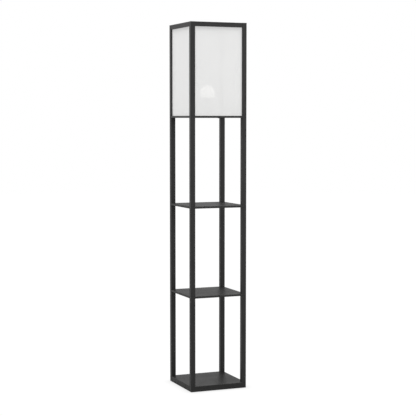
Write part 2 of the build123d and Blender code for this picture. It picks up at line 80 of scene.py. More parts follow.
def black_wood(name, along, shift):
    """Lacquered wood, its grain along one axis. The shift picks another stretch of grain."""
    wood = bpy.data.materials.new(name)
    wood.use_nodes = True
    parts, links = wood.node_tree.nodes, wood.node_tree.links
    surface = parts["Principled BSDF"]
    surface.inputs["IOR"].default_value = 1.4
    place = parts.new("ShaderNodeTexCoord")
    drawn = parts.new("ShaderNodeMapping")
    scales = [grain_pitch] * 3
    scales[along] = grain_pitch / grain_stretch
    drawn.inputs["Scale"].default_value = scales
    drawn.inputs["Location"].default_value = (shift, 2.3 * shift, 5.1 * shift)
    links.new(place.outputs["Object"], drawn.inputs["Vector"])
    # Straight streaks of the grain, and the finer pores between them
    streaks = parts.new("ShaderNodeTexNoise")
    streaks.inputs["Scale"].default_value = 1.0
    streaks.inputs["Detail"].default_value = 6.0
    streaks.inputs["Roughness"].default_value = 0.62
    streaks.inputs["Distortion"].default_value = 0.35
    links.new(drawn.outputs["Vector"], streaks.inputs["Vector"])
    pores = parts.new("ShaderNodeTexVoronoi")
    pores.inputs["Scale"].default_value = 3.4
    links.new(drawn.outputs["Vector"], pores.inputs["Vector"])
    pits = parts.new("ShaderNodeMapRange")
    pits.inputs["From Min"].default_value = 0.02
    pits.inputs["From Max"].default_value = 0.16
    links.new(pores.outputs["Distance"], pits.inputs["Value"])
    # The lacquer lies a little thicker and glossier in places
    flow = parts.new("ShaderNodeTexNoise")
    flow.inputs["Scale"].default_value = 14.0
    flow.inputs["Detail"].default_value = 2.0
    links.new(place.outputs["Object"], flow.inputs["Vector"])
    tone = parts.new("ShaderNodeValToRGB")
    tone.color_ramp.elements[0].position = 0.30
    tone.color_ramp.elements[0].color = lacquer_dark
    tone.color_ramp.elements[1].position = 0.72
    tone.color_ramp.elements[1].color = lacquer_light
    links.new(streaks.outputs["Fac"], tone.inputs["Fac"])
    pitted = parts.new("ShaderNodeMix")
    pitted.data_type = "RGBA"
    pitted.blend_type = "MULTIPLY"
    pitted.inputs["Factor"].default_value = 0.55
    links.new(tone.outputs["Color"], pitted.inputs["A"])
    links.new(pits.outputs["Result"], pitted.inputs["B"])
    links.new(pitted.outputs["Result"], surface.inputs["Base Color"])
    both = parts.new("ShaderNodeMath")
    both.operation = "MULTIPLY_ADD"
    both.inputs[1].default_value = 0.5
    links.new(streaks.outputs["Fac"], both.inputs[0])
    half_flow = parts.new("ShaderNodeMath")
    half_flow.operation = "MULTIPLY"
    half_flow.inputs[1].default_value = 0.5
    links.new(flow.outputs["Fac"], half_flow.inputs[0])
    links.new(half_flow.outputs["Value"], both.inputs[2])
    gloss = parts.new("ShaderNodeMapRange")
    gloss.inputs["From Min"].default_value = 0.3
    gloss.inputs["From Max"].default_value = 0.7
    gloss.inputs["To Min"].default_value = lacquer_gloss[0]
    gloss.inputs["To Max"].default_value = lacquer_gloss[1]
    links.new(both.outputs["Value"], gloss.inputs["Value"])
    links.new(gloss.outputs["Result"], surface.inputs["Roughness"])
    # Eased edges catch a thin line of light; pores and streaks give a slight relief
    eased = parts.new("ShaderNodeBevel")
    eased.samples = 6
    eased.inputs["Radius"].default_value = 0.5 * mm
    depth = parts.new("ShaderNodeMath")
    depth.operation = "MULTIPLY_ADD"
    depth.inputs[1].default_value = 0.4
    links.new(pits.outputs["Result"], depth.inputs[0])
    links.new(streaks.outputs["Fac"], depth.inputs[2])
    relief = parts.new("ShaderNodeBump")
    relief.inputs["Strength"].default_value = 0.22
    relief.inputs["Distance"].default_value = 0.12 * mm
    links.new(depth.outputs["Value"], relief.inputs["Height"])
    links.new(eased.outputs["Normal"], relief.inputs["Normal"])
    links.new(relief.outputs["Normal"], surface.inputs["Normal"])
    return wood


def finish_node(node, material):
    """Gives a CAD node its looks in place of its plain colour."""
    for holder in nodes[node].material_slots:
        holder.material = material


finish_node("base_board", black_wood("black_wood_base", across, 0.0))


# ---- Floor pads --------------------------------------------------------------------
# Four square pads of black rubber, stuck in their seats under the base. Their edges are
# moulded round, and the sole has a fine grain that grips the floor.
pad_low, pad_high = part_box("floor_pads")
pad_side = 18.0 * mm
pad_edge = 0.45 * mm
pad_reach = pad_high.x - pad_side / 2
pad_thick = pad_high.z - pad_low.z


def edit_whole():
    """Opens the active mesh for editing with all of it selected."""
    bpy.ops.object.mode_set(mode="EDIT")
    bpy.ops.mesh.select_all(action="SELECT")


def mottled(name, tones, scale, gloss, relief):
    """A finish whose colour, gloss and relief follow one fine mottling of the material."""
    made = bpy.data.materials.new(name)
    made.use_nodes = True
    parts, links = made.node_tree.nodes, made.node_tree.links
    surface = parts["Principled BSDF"]
    place = parts.new("ShaderNodeTexCoord")
    mottle = parts.new("ShaderNodeTexNoise")
    mottle.inputs["Scale"].default_value = scale
    mottle.inputs["Detail"].default_value = 4.0
    links.new(place.outputs["Object"], mottle.inputs["Vector"])
    tone = parts.new("ShaderNodeValToRGB")
    tone.color_ramp.elements[0].position = 0.32
    tone.color_ramp.elements[0].color = (*tones[0], 1)
    tone.color_ramp.elements[1].position = 0.68
    tone.color_ramp.elements[1].color = (*tones[1], 1)
    links.new(mottle.outputs["Fac"], tone.inputs["Fac"])
    links.new(tone.outputs["Color"], surface.inputs["Base Color"])
    rough = parts.new("ShaderNodeMapRange")
    rough.inputs["From Min"].default_value = 0.3
    rough.inputs["From Max"].default_value = 0.7
    rough.inputs["To Min"].default_value = gloss[0]
    rough.inputs["To Max"].default_value = gloss[1]
    links.new(mottle.outputs["Fac"], rough.inputs["Value"])
    links.new(rough.outputs["Result"], surface.inputs["Roughness"])
    height = parts.new("ShaderNodeBump")
    height.inputs["Strength"].default_value = 0.5
    height.inputs["Distance"].default_value = relief
    links.new(mottle.outputs["Fac"], height.inputs["Height"])
    links.new(height.outputs["Normal"], surface.inputs["Normal"])
    return made, surface


pad_rubber, _ = mottled(
    "pad_rubber", ((0.038, 0.038, 0.039), (0.066, 0.066, 0.068)), 2600.0, (0.72, 0.9), 0.08 * mm
)
bpy.ops.object.select_all(action="DESELECT")
bpy.ops.mesh.primitive_cube_add(size=1, location=(0, 0, 0))
pads = bpy.context.object
pads.name = "foot_pads"
edit_whole()
bpy.ops.transform.resize(value=(pad_side, pad_side, pad_thick))
bpy.ops.transform.translate(value=(-pad_reach, -pad_reach, pad_thick / 2))
bpy.ops.mesh.bevel(offset=pad_edge, segments=3, affect="EDGES")
for step in ((2 * pad_reach, 0, 0), (0, 2 * pad_reach, 0), (-2 * pad_reach, 0, 0)):
    bpy.ops.mesh.duplicate_move(TRANSFORM_OT_translate={"value": step})
bpy.ops.object.mode_set(mode="OBJECT")
bpy.ops.object.shade_smooth_by_angle(angle=math.radians(40))
pads.data.materials.append(pad_rubber)
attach(pads, "lamp_frame")
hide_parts("floor_pads")


# ---- Base bolts --------------------------------------------------------------------
# Four M6 bolts of blackened steel with round heads and a hexagon socket. They sit in
# recesses under the base and pull the lowest posts down on to it.
bolt_low, bolt_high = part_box("base_bolts")
bolt_head_radius = 6.0 * mm
bolt_head_height = 3.6 * mm
bolt_key = 4.0 * mm  # across the flats of the socket
bolt_socket_depth = 2.2 * mm
bolt_head_round = 0.6 * mm
bolt_head_chamfer = 0.2 * mm
bolt_shank = 3.0 * mm
bolt_thread_depth = 0.55 * mm
bolt_pitch = 1.0 * mm
bolt_crest = 0.12 * mm  # flat of the thread's crest, then its root between two heights
bolt_root_low = 0.46 * mm
bolt_root_high = 0.66 * mm
post_middle = bolt_high.x - bolt_head_radius
weld_reach = 0.002 * mm  # points closer than this become one


def arc(middle, radius, start, end, steps):
    """Points (radius from the axis, height) on a round stretch of an outline."""
    turns = [math.radians(start + (end - start) * step / steps) for step in range(steps + 1)]
    return [(middle[0] + radius * math.cos(t), middle[1] + radius * math.sin(t)) for t in turns]


def draw_outline(name, outline):
    """A single corner point, extruded from one point of the outline to the next."""
    bpy.ops.object.select_all(action="DESELECT")
    bpy.ops.mesh.primitive_plane_add(size=mm, location=(0, 0, 0))
    piece = bpy.context.object
    piece.name = name
    edit_whole()
    bpy.ops.mesh.merge(type="CENTER")
    bpy.ops.transform.translate(value=(outline[0][0], 0, outline[0][1]))
    for here, there in zip(outline, outline[1:]):
        step = (there[0] - here[0], 0, there[1] - here[1])
        bpy.ops.mesh.extrude_region_move(TRANSFORM_OT_translate={"value": step})
    return piece


def turned(name, outline, sides):
    """A turned or moulded round piece: its outline spun about the upright axis."""
    piece = draw_outline(name, outline)
    bpy.ops.mesh.select_all(action="SELECT")
    bpy.ops.mesh.spin(steps=sides, angle=2 * math.pi, center=(0, 0, 0), axis=(0, 0, 1))
    bpy.ops.mesh.select_all(action="SELECT")
    bpy.ops.mesh.remove_doubles(threshold=weld_reach)
    bpy.ops.mesh.delete_loose()
    bpy.ops.mesh.select_all(action="SELECT")
    bpy.ops.mesh.normals_make_consistent(inside=False)
    bpy.ops.object.mode_set(mode="OBJECT")
    return piece


def helical_sheet(name, wave, pitch, low, high, sides, solid=False):
    """A threaded sleeve: one wave of the thread carried up a right-handed helix and cut to
    length. With solid, its ends are closed and it becomes a rod."""
    first = (math.floor(low / pitch) - 1) * pitch
    turns = math.ceil((high - first) / pitch) + 1
    piece = draw_outline(name, [(radius, first + rise) for radius, rise in wave])
    bpy.ops.object.mode_set(mode="OBJECT")
    screw = piece.modifiers.new("thread", "SCREW")
    screw.axis = "Z"
    screw.angle = 2 * math.pi
    screw.screw_offset = pitch
    screw.iterations = turns
    screw.steps = sides
    screw.render_steps = sides
    screw.use_merge_vertices = True
    screw.merge_threshold = weld_reach
    bpy.ops.object.modifier_apply(modifier="thread")
    edit_whole()
    bpy.ops.mesh.remove_doubles(threshold=weld_reach)
    for level, side in ((low, -1), (high, 1)):
        bpy.ops.mesh.select_all(action="SELECT")
        bpy.ops.mesh.bisect(
            plane_co=(0, 0, level),
            plane_no=(0, 0, side),
            use_fill=solid,
            clear_outer=True,
            threshold=0.001 * mm,
        )
    bpy.ops.mesh.select_all(action="SELECT")
    bpy.ops.mesh.normals_make_consistent(inside=False)
    bpy.ops.object.mode_set(mode="OBJECT")
    return piece


def take(piece):
    """Makes the piece the active object and the only one selected."""
    bpy.ops.object.select_all(action="DESELECT")
    piece.select_set(True)
    bpy.context.view_layer.objects.active = piece


def cut_away(piece, cutter):
    """Cuts one solid out of another and takes the cutter away."""
    take(piece)
    cut = piece.modifiers.new("cut", "BOOLEAN")
    cut.operation = "DIFFERENCE"
    cut.solver = "EXACT"
    cut.object = cutter
    bpy.ops.object.modifier_apply(modifier="cut")
    bpy.data.objects.remove(cutter)


def repeat_at(piece, steps):
    """The piece copied within its own mesh, each copy one step on from the last."""
    take(piece)
    edit_whole()
    for step in steps:
        bpy.ops.mesh.duplicate_move(TRANSFORM_OT_translate={"value": step})
    bpy.ops.object.mode_set(mode="OBJECT")


def move_mesh(piece, step):
    """Moves the mesh and leaves the object's origin in the shared frame."""
    take(piece)
    edit_whole()
    bpy.ops.transform.translate(value=step)
    bpy.ops.object.mode_set(mode="OBJECT")


def joined(name, pieces):
    """Joins several objects into the first of them and names it."""
    bpy.ops.object.select_all(action="DESELECT")
    for piece in pieces:
        piece.select_set(True)
    bpy.context.view_layer.objects.active = pieces[0]
    bpy.ops.object.join()
    pieces[0].name = name
    return pieces[0]


def smooth(piece, angle=35):
    """Shades the piece smooth, save across edges sharper than the angle in degrees."""
    take(piece)
    bpy.ops.object.shade_smooth_by_angle(angle=math.radians(angle))


metric_wave = [
    (bolt_shank, 0.0),
    (bolt_shank, bolt_crest),
    (bolt_shank - bolt_thread_depth, bolt_root_low),
    (bolt_shank - bolt_thread_depth, bolt_root_high),
    (bolt_shank, bolt_pitch),
]
head_low = bolt_low.z
head_high = head_low + bolt_head_height
head_outline = [
    (0, head_low),
    *arc(
        (bolt_head_radius - bolt_head_round, head_low + bolt_head_round), bolt_head_round, -90, 0, 4
    ),
    (bolt_head_radius, head_high - bolt_head_chamfer),
    (bolt_head_radius - bolt_head_chamfer, head_high),
    (0, head_high),
]
bolt_head = turned("bolt_head", head_outline, 36)
bpy.ops.object.select_all(action="DESELECT")
bpy.ops.mesh.primitive_cylinder_add(
    vertices=6,
    radius=bolt_key / 2 / math.cos(math.radians(30)),
    depth=2 * bolt_socket_depth,
    location=(0, 0, head_low),
)
cut_away(bolt_head, bpy.context.object)
bolt_thread = helical_sheet(
    "bolt_thread", metric_wave, bolt_pitch, head_high, bolt_high.z, 16, solid=True
)
black_steel, steel_surface = mottled(
    "black_steel", ((0.018, 0.018, 0.019), (0.042, 0.042, 0.044)), 1800.0, (0.28, 0.42), 0.02 * mm
)
steel_surface.inputs["Metallic"].default_value = 0.65
bolts = joined("socket_bolts", [bolt_head, bolt_thread])
move_mesh(bolts, (-post_middle, -post_middle, 0))
span = 2 * post_middle
other_corners = ((span, 0, 0), (0, span, 0), (-span, 0, 0))
repeat_at(bolts, other_corners)
smooth(bolts)
bolts.data.materials.append(black_steel)
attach(bolts, "lamp_frame")
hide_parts("base_bolts")


# ---- Posts and shelves -------------------------------------------------------------
# Twelve square posts, four to a bay, and two thin boards as wide as the whole lamp. They
# are lacquered alike. Each board is clamped between the posts below and above it.
for level, tier in enumerate(("lower", "middle", "upper", "shade")):
    tier_wood = black_wood(f"black_wood_{tier}_posts", upright, 3.7 * level)
    for corner in ("fl", "fr", "rl", "rr"):
        finish_node(f"{tier}_post_{corner}", tier_wood)
for level, board in enumerate(("lower_shelf", "upper_shelf", "lamp_deck")):
    finish_node(board, black_wood(f"black_wood_{board}", across, 11.3 + 4.1 * level))


# ---- Studs and inserts -------------------------------------------------------------
# Zinc-plated M6 studs are glued into the top of each plain post and pass through the
# board above. The insert in the foot of the next post screws down on to them.
stud_low, stud_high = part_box("post_studs")
tier_feet = [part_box(f"{tier}_post_fl")[0].z for tier in ("lower", "middle", "upper", "shade")]
stud_top = stud_high.z - tier_feet[3]
first_stud_high = tier_feet[1] + stud_top
first_stud_low = stud_low.z
zinc_steel, zinc_surface = mottled(
    "zinc_steel", ((0.50, 0.51, 0.52), (0.68, 0.69, 0.70)), 900.0, (0.24, 0.4), 0.01 * mm
)
zinc_surface.inputs["Metallic"].default_value = 1.0
studs = helical_sheet(
    "threaded_studs", metric_wave, bolt_pitch, first_stud_low, first_stud_high, 14, solid=True
)
move_mesh(studs, (-post_middle, -post_middle, 0))
repeat_at(studs, other_corners)
tier_steps = [(0, 0, there - here) for here, there in zip(tier_feet[1:], tier_feet[2:])]
repeat_at(studs, tier_steps)
smooth(studs)
studs.data.materials.append(zinc_steel)
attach(studs, "lamp_frame")
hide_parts("post_studs")
finish_node("thread_inserts", zinc_steel)


# ---- Top rails ---------------------------------------------------------------------
# Four square rails tie the shade posts together with mitred tenons. They are lacquered
# with the posts, and the grain of each runs along it.
front_rail_wood = black_wood("black_wood_cross_rails", across, 31.7)
side_rail_wood = black_wood("black_wood_side_rails", deep, 37.9)
for side, rail_wood in (
    ("front", front_rail_wood),
    ("back", front_rail_wood),
    ("left", side_rail_wood),
    ("right", side_rail_wood),
):
    finish_node(f"top_rail_{side}", rail_wood)


# ---- Shade panels ------------------------------------------------------------------
# Four stiff sheets of 2 mm opal plastic, matt on both faces, slid into the grooves of the
# posts. Their even white light is painted in as a glow of their own, in place of the lit
# bulb's light passing through. The bulb's globe shows faintly through the sheet.
# The sheets' glow is painted light: an emission of their own in place of the bulb's light
painted_glow_strength = 0.34
see_through = 0.17
opal = bpy.data.materials.new("opal_sheet")
opal.use_nodes = True
parts, links = opal.node_tree.nodes, opal.node_tree.links
opal_surface = parts["Principled BSDF"]
opal_surface.inputs["Base Color"].default_value = (0.62, 0.62, 0.615, 1)
opal_surface.inputs["Emission Strength"].default_value = painted_glow_strength
# A fine fleck in the matt face, and slow faint clouds in the painted glow
place = parts.new("ShaderNodeTexCoord")
fleck = parts.new("ShaderNodeTexNoise")
fleck.inputs["Scale"].default_value = 1500.0
fleck.inputs["Detail"].default_value = 3.0
links.new(place.outputs["Object"], fleck.inputs["Vector"])
cloud = parts.new("ShaderNodeTexNoise")
cloud.inputs["Scale"].default_value = 9.0
cloud.inputs["Detail"].default_value = 2.0
links.new(place.outputs["Object"], cloud.inputs["Vector"])
rough = parts.new("ShaderNodeMapRange")
rough.inputs["To Min"].default_value = 0.46
rough.inputs["To Max"].default_value = 0.62
links.new(fleck.outputs["Fac"], rough.inputs["Value"])
links.new(rough.outputs["Result"], opal_surface.inputs["Roughness"])
matt = parts.new("ShaderNodeBump")
matt.inputs["Strength"].default_value = 0.35
matt.inputs["Distance"].default_value = 0.03 * mm
links.new(fleck.outputs["Fac"], matt.inputs["Height"])
links.new(matt.outputs["Normal"], opal_surface.inputs["Normal"])
glow = parts.new("ShaderNodeValToRGB")
glow.color_ramp.elements[0].position = 0.3
glow.color_ramp.elements[0].color = (0.97, 0.97, 0.968, 1)
glow.color_ramp.elements[1].position = 0.7
glow.color_ramp.elements[1].color = (1.0, 1.0, 0.998, 1)
links.new(cloud.outputs["Fac"], glow.inputs["Fac"])
links.new(glow.outputs["Color"], opal_surface.inputs["Emission Color"])
# A little of what stands behind shows through
clear = parts.new("ShaderNodeBsdfTransparent")
sheet_mix = parts.new("ShaderNodeMixShader")
sheet_mix.inputs["Fac"].default_value = see_through
links.new(opal_surface.outputs["BSDF"], sheet_mix.inputs[1])
links.new(clear.outputs["BSDF"], sheet_mix.inputs[2])
links.new(sheet_mix.outputs["Shader"], parts["Material Output"].inputs["Surface"])
for side in ("front", "back", "left", "right"):
    finish_node(f"shade_panel_{side}", opal)


# ---- Cord outlet -------------------------------------------------------------------
# A soft rubber grommet snapped into the deck beside the rear right post. Its two lips are
# moulded round and grip the board between them.
grommet_low, grommet_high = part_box("cord_grommet")
deck_low, deck_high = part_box("lamp_deck")
grommet_middle = ((grommet_low.x + grommet_high.x) / 2, (grommet_low.y + grommet_high.y) / 2)
lip_reach = (grommet_high.x - grommet_low.x) / 2
lip_thick = grommet_high.z - deck_high.z
grommet_bore = 3.5 * mm
grommet_neck = 5.0 * mm
bore_round = 0.7 * mm
lip_round = lip_thick / 2
grommet_outline = [
    (grommet_neck, deck_low.z),
    *arc((lip_reach - lip_round, deck_low.z - lip_round), lip_round, 90, -90, 8),
    *arc((grommet_bore + bore_round, grommet_low.z + bore_round), bore_round, -90, -180, 4),
    *arc((grommet_bore + bore_round, grommet_high.z - bore_round), bore_round, 180, 90, 4),
    *arc((lip_reach - lip_round, deck_high.z + lip_round), lip_round, 90, -90, 8),
    (grommet_neck, deck_high.z),
    (grommet_neck, deck_low.z),
]
grommet = turned("deck_grommet", grommet_outline, 48)
move_mesh(grommet, (*grommet_middle, 0))
smooth(grommet)
grommet_rubber, _ = mottled(
    "grommet_rubber", ((0.016, 0.016, 0.017), (0.032, 0.032, 0.033)), 900.0, (0.5, 0.66), 0.03 * mm
)
grommet.data.materials.append(grommet_rubber)
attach(grommet, "lamp_frame")
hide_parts("cord_grommet")


# ---- Lampholder base ---------------------------------------------------------------
# A flanged cup moulded in white plastic, screwed to the deck on each side. The cord comes
# in through a round port that faces the grommet.
flange_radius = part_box("holder_base")[1].x
holder_foot = deck_high.z
cup_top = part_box("holder_base")[1].z
flange_thick = 3.0 * mm
cup_wall = 21.0 * mm
cup_shoulder = 12.0 * mm
cup_rim = 19.6 * mm
cup_bore = 18.4 * mm
cup_ledge = 15.5 * mm
ledge_height = 9.0 * mm
port_radius = 3.4 * mm
port_height = flange_thick + port_radius + 0.2 * mm
flange_chamfer = 0.4 * mm
flange_round = 1.4 * mm
root_round = 1.0 * mm
shoulder_round = 0.5 * mm
cup_chamfer = 0.3 * mm
flange_top = holder_foot + flange_thick
shoulder_level = holder_foot + cup_shoulder
base_outline = [
    (0, holder_foot),
    (flange_radius - flange_chamfer, holder_foot),
    (flange_radius, holder_foot + flange_chamfer),
    *arc((flange_radius - flange_round, flange_top - flange_round), flange_round, 0, 90, 6),
    *arc((cup_wall + root_round, flange_top + root_round), root_round, 270, 180, 4),
    *arc((cup_wall - shoulder_round, shoulder_level - shoulder_round), shoulder_round, 0, 90, 3),
    (cup_rim, shoulder_level),
    (cup_rim, cup_top - cup_chamfer),
    (cup_rim - cup_chamfer, cup_top),
    (cup_bore + cup_chamfer, cup_top),
    (cup_bore, cup_top - cup_chamfer),
    (cup_bore, holder_foot + ledge_height),
    (cup_ledge, holder_foot + ledge_height),
    (cup_ledge, flange_top),
    (0, flange_top),
]
holder_cup = turned("lampholder_base", base_outline, 96)
screw_low, screw_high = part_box("holder_screws")
screw_head = 3.4 * mm
screw_place = screw_high.x - screw_head
screw_shank = 1.75 * mm
screw_play = 0.15 * mm
for side in (-1, 1):
    bpy.ops.object.select_all(action="DESELECT")
    bpy.ops.mesh.primitive_cylinder_add(
        vertices=32,
        radius=screw_shank + screw_play,
        depth=4 * flange_thick,
        location=(side * screw_place, 0, holder_foot),
    )
    cut_away(holder_cup, bpy.context.object)
bpy.ops.object.select_all(action="DESELECT")
port_reach = flange_radius / 2
port_turn = math.radians(45)
bpy.ops.mesh.primitive_cylinder_add(
    vertices=40,
    radius=port_radius,
    depth=flange_radius,
    location=(
        port_reach * math.cos(port_turn),
        port_reach * math.sin(port_turn),
        holder_foot + port_height,
    ),
    rotation=(0, math.radians(90), port_turn),
)
cut_away(holder_cup, bpy.context.object)
smooth(holder_cup, 30)
white_plastic, plastic_surface = mottled(
    "white_plastic", ((0.765, 0.765, 0.75), (0.785, 0.785, 0.77)), 160.0, (0.27, 0.33), 0.004 * mm
)
plastic_surface.inputs["Subsurface Weight"].default_value = 0.15
plastic_surface.inputs["Subsurface Radius"].default_value = (0.8 * mm, 0.7 * mm, 0.6 * mm)
plastic_surface.inputs["Subsurface Scale"].default_value = 1.0
holder_cup.data.materials.append(white_plastic)
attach(holder_cup, "lamp_frame")
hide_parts("holder_base")


# ---- Lampholder screws -------------------------------------------------------------
# Two zinc-plated wood screws with domed heads and a cross recess, driven through the
# flange of the base into the deck.
head_rise = screw_high.z - flange_top
head_edge = 0.5 * mm
point_radius = 0.5 * mm
point_blunt = 0.2 * mm
point_length = 2.0 * mm
screw_core = screw_shank - 0.4 * mm
wood_thread_root = screw_shank - 0.42 * mm
wood_pitch = 1.4 * mm
recess_depth = 1.5 * mm
recess_middle = 0.72 * mm
recess_thin = 0.22  # its narrow side over its wide one
screw_outline = [
    (0, screw_low.z),
    (point_radius, screw_low.z + point_blunt),
    (screw_core, screw_low.z + point_length),
    (screw_core, flange_top),
    (screw_head - 0.2 * mm, flange_top),
    *[
        (
            screw_head * math.cos(turn),
            flange_top + head_edge + (head_rise - head_edge) * math.sin(turn),
        )
        for turn in [math.radians(15 * step) for step in range(6)]
    ],
    (0, screw_high.z),
]
screw = turned("lampholder_screws", screw_outline, 40)
for wide, thin in ((1.0, recess_thin), (recess_thin, 1.0)):
    bpy.ops.object.select_all(action="DESELECT")
    bpy.ops.mesh.primitive_cone_add(
        vertices=4,
        radius1=0.9 * mm,
        radius2=2.6 * mm,
        depth=recess_depth,
        location=(0, 0, screw_high.z - recess_middle),
        rotation=(0, 0, math.radians(45)),
    )
    blade = bpy.context.object
    edit_whole()
    bpy.ops.transform.resize(value=(wide, thin, 1))
    bpy.ops.object.mode_set(mode="OBJECT")
    cut_away(screw, blade)
screw_thread = helical_sheet(
    "screw_thread",
    [
        (wood_thread_root, 0.0),
        (wood_thread_root, 0.5 * mm),
        (screw_shank, 0.8 * mm),
        (wood_thread_root, 1.1 * mm),
        (wood_thread_root, wood_pitch),
    ],
    wood_pitch,
    screw_low.z + point_length,
    holder_foot - 0.3 * mm,
    20,
    solid=True,
)
screws = joined("lampholder_screws", [screw, screw_thread])
move_mesh(screws, (-screw_place, 0, 0))
repeat_at(screws, ((2 * screw_place, 0, 0),))
smooth(screws)
screws.data.materials.append(zinc_steel)
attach(screws, "lamp_frame")
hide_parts("holder_screws")


# ---- Lampholder core ---------------------------------------------------------------
# A white glazed insulator of steatite that rests on the ledge of the cup and carries the
# brass parts.
ceramic, _ = mottled(
    "white_ceramic", ((0.745, 0.735, 0.705), (0.772, 0.762, 0.734)), 260.0, (0.14, 0.22), 0.005 * mm
)
finish_node("holder_core", ceramic)


# ---- Brass contacts ----------------------------------------------------------------
# The screw sleeve is pressed from thin brass, with a round thread that the bulb's cap
# turns in. The springy tongue in the middle meets the tip of the bulb.
brass, brass_surface = mottled(
    "contact_brass", ((0.70, 0.51, 0.22), (0.77, 0.58, 0.27)), 260.0, (0.2, 0.3), 0.003 * mm
)
brass_surface.inputs["Metallic"].default_value = 1.0
bulb_pitch = 3.629 * mm
cap_middle_radius = 12.625 * mm
cap_wave_height = 0.475 * mm
thread_clearance = 0.35 * mm
sheet_metal = 0.35 * mm
sleeve_plain = 13.45 * mm
sleeve_run_out = 2.2 * mm
wave_steps = 12


def round_wave(middle, swing, pitch):
    """One wave of a rolled thread, round in crest and root."""
    return [
        (middle + swing * math.cos(2 * math.pi * step / wave_steps), pitch * step / wave_steps)
        for step in range(wave_steps + 1)
    ]


def fade_wave(piece, plain, low, high, fade):
    """The thread runs out to a plain round within one fade of each end."""
    for point in piece.data.vertices:
        radius = math.hypot(point.co.x, point.co.y)
        inside = min(point.co.z - low, high - point.co.z) / fade
        share = max(0.0, min(1.0, inside))
        share = share * share * (3 - 2 * share)
        wanted = plain + (radius - plain) * share
        point.co.x *= wanted / radius
        point.co.y *= wanted / radius


def thicken(piece, thickness, side):
    """Gives a round sheet its wall, on its outer side with 1 or its inner side with -1."""
    take(piece)
    face = piece.data.polygons[0]
    faces_out = face.normal.x * face.center.x + face.normal.y * face.center.y > 0
    wall = piece.modifiers.new("wall", "SOLIDIFY")
    wall.thickness = thickness
    wall.offset = side if faces_out else -side
    bpy.ops.object.modifier_apply(modifier="wall")


sleeve_low, sleeve_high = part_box("thread_contact")
sleeve = helical_sheet(
    "brass_sleeve",
    round_wave(cap_middle_radius + thread_clearance, cap_wave_height, bulb_pitch),
    bulb_pitch,
    sleeve_low.z + 0.2 * mm,
    sleeve_high.z,
    64,
)
fade_wave(sleeve, sleeve_plain, sleeve_low.z, sleeve_high.z, sleeve_run_out)
thicken(sleeve, sheet_metal, 1)
smooth(sleeve, 50)
sleeve.data.materials.append(brass)
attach(sleeve, "lamp_frame")
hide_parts("thread_contact")
finish_node("centre_contact", brass)

# Terminal screws: slotted brass heads under the core, one for each wire of the cord
terminal_low, terminal_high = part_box("terminal_screws")
terminal_head = terminal_high.x
terminal_seat = terminal_low.z + 2.0 * mm
terminal_shank = 1.5 * mm
terminal_pitch = 0.7 * mm
terminal_root = terminal_shank - 0.35 * mm
terminal_chamfer = 0.3 * mm
terminal_edge = 0.15 * mm
slot_width = 0.7 * mm
slot_height = 1.6 * mm
terminal_outline = [
    (0, terminal_low.z),
    (terminal_head - terminal_chamfer, terminal_low.z),
    (terminal_head, terminal_low.z + terminal_chamfer),
    (terminal_head, terminal_seat - terminal_edge),
    (terminal_head - terminal_edge, terminal_seat),
    (0, terminal_seat),
]
terminal = turned("terminal_clamps", terminal_outline, 40)
bpy.ops.object.select_all(action="DESELECT")
bpy.ops.mesh.primitive_cube_add(size=1, location=(0, 0, terminal_low.z))
slot_blade = bpy.context.object
edit_whole()
bpy.ops.transform.resize(value=(3 * terminal_head, slot_width, slot_height))
bpy.ops.object.mode_set(mode="OBJECT")
cut_away(terminal, slot_blade)
terminal_thread = helical_sheet(
    "terminal_thread",
    [
        (terminal_shank, 0.0),
        (terminal_root, 0.3 * mm),
        (terminal_root, 0.4 * mm),
        (terminal_shank, terminal_pitch),
    ],
    terminal_pitch,
    terminal_seat,
    terminal_high.z,
    20,
    solid=True,
)
terminals = joined("terminal_clamps", [terminal, terminal_thread])
terminal_spread = terminal_high.y - terminal_head
move_mesh(terminals, (0, -terminal_spread, 0))
repeat_at(terminals, ((0, 2 * terminal_spread, 0),))
smooth(terminals)
terminals.data.materials.append(brass)
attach(terminals, "lamp_frame")
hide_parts("terminal_screws")


# ---- Lampholder shell --------------------------------------------------------------
# The outer sleeve, moulded in white plastic with shallow flutes for the fingers. It
# screws down over the cup and holds the ceramic core in place.
shell_low, shell_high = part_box("holder_shell")
shell_foot = shell_high.x
shell_rim = 20.6 * mm
shell_mouth = 15.2 * mm
shell_bore = 18.0 * mm
shell_socket = 19.8 * mm
shell_shoulder = holder_foot + 16.3 * mm
shell_lip = holder_foot + 47.3 * mm
flute_count = 20
flute_depth = 0.75 * mm
flute_length = 16.0 * mm
flute_fade = 3.0 * mm
flute_low = shell_shoulder
flute_high = flute_low + flute_length
flank_steps = 26
foot_edge = 0.8 * mm
rim_round = 1.6 * mm
mouth_round = 0.8 * mm
flank_height = shell_high.z - rim_round - shell_low.z - foot_edge
flank = [
    (
        shell_foot + (shell_rim - shell_foot) * step / flank_steps,
        shell_low.z + foot_edge + flank_height * step / flank_steps,
    )
    for step in range(flank_steps + 1)
]
shell_outline = [
    (shell_socket, shell_low.z),
    (shell_foot - 0.6 * mm, shell_low.z),
    *flank,
    *arc((shell_rim - rim_round, shell_high.z - rim_round), rim_round, 15, 90, 5),
    *arc((shell_mouth + mouth_round, shell_high.z - mouth_round), mouth_round, 90, 180, 4),
    (shell_mouth, shell_lip),
    (shell_bore, shell_lip),
    (shell_bore, shell_shoulder),
    (shell_socket, shell_shoulder),
    (shell_socket, shell_low.z),
]
shell = turned("lampholder_shell", shell_outline, 8 * flute_count)
for point in shell.data.vertices:
    radius = math.hypot(point.co.x, point.co.y)
    if radius > shell_rim - 0.3 * mm and flute_low < point.co.z < flute_high:
        inside = min(point.co.z - flute_low, flute_high - point.co.z) / flute_fade
        wave = math.cos(flute_count * math.atan2(point.co.y, point.co.x))
        sunk = flute_depth * min(1.0, inside) * max(0.0, wave) ** 1.5
        point.co.x *= 1 - sunk / radius
        point.co.y *= 1 - sunk / radius
smooth(shell, 30)
shell.data.materials.append(white_plastic)
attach(shell, "lamp_frame")
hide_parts("holder_shell")


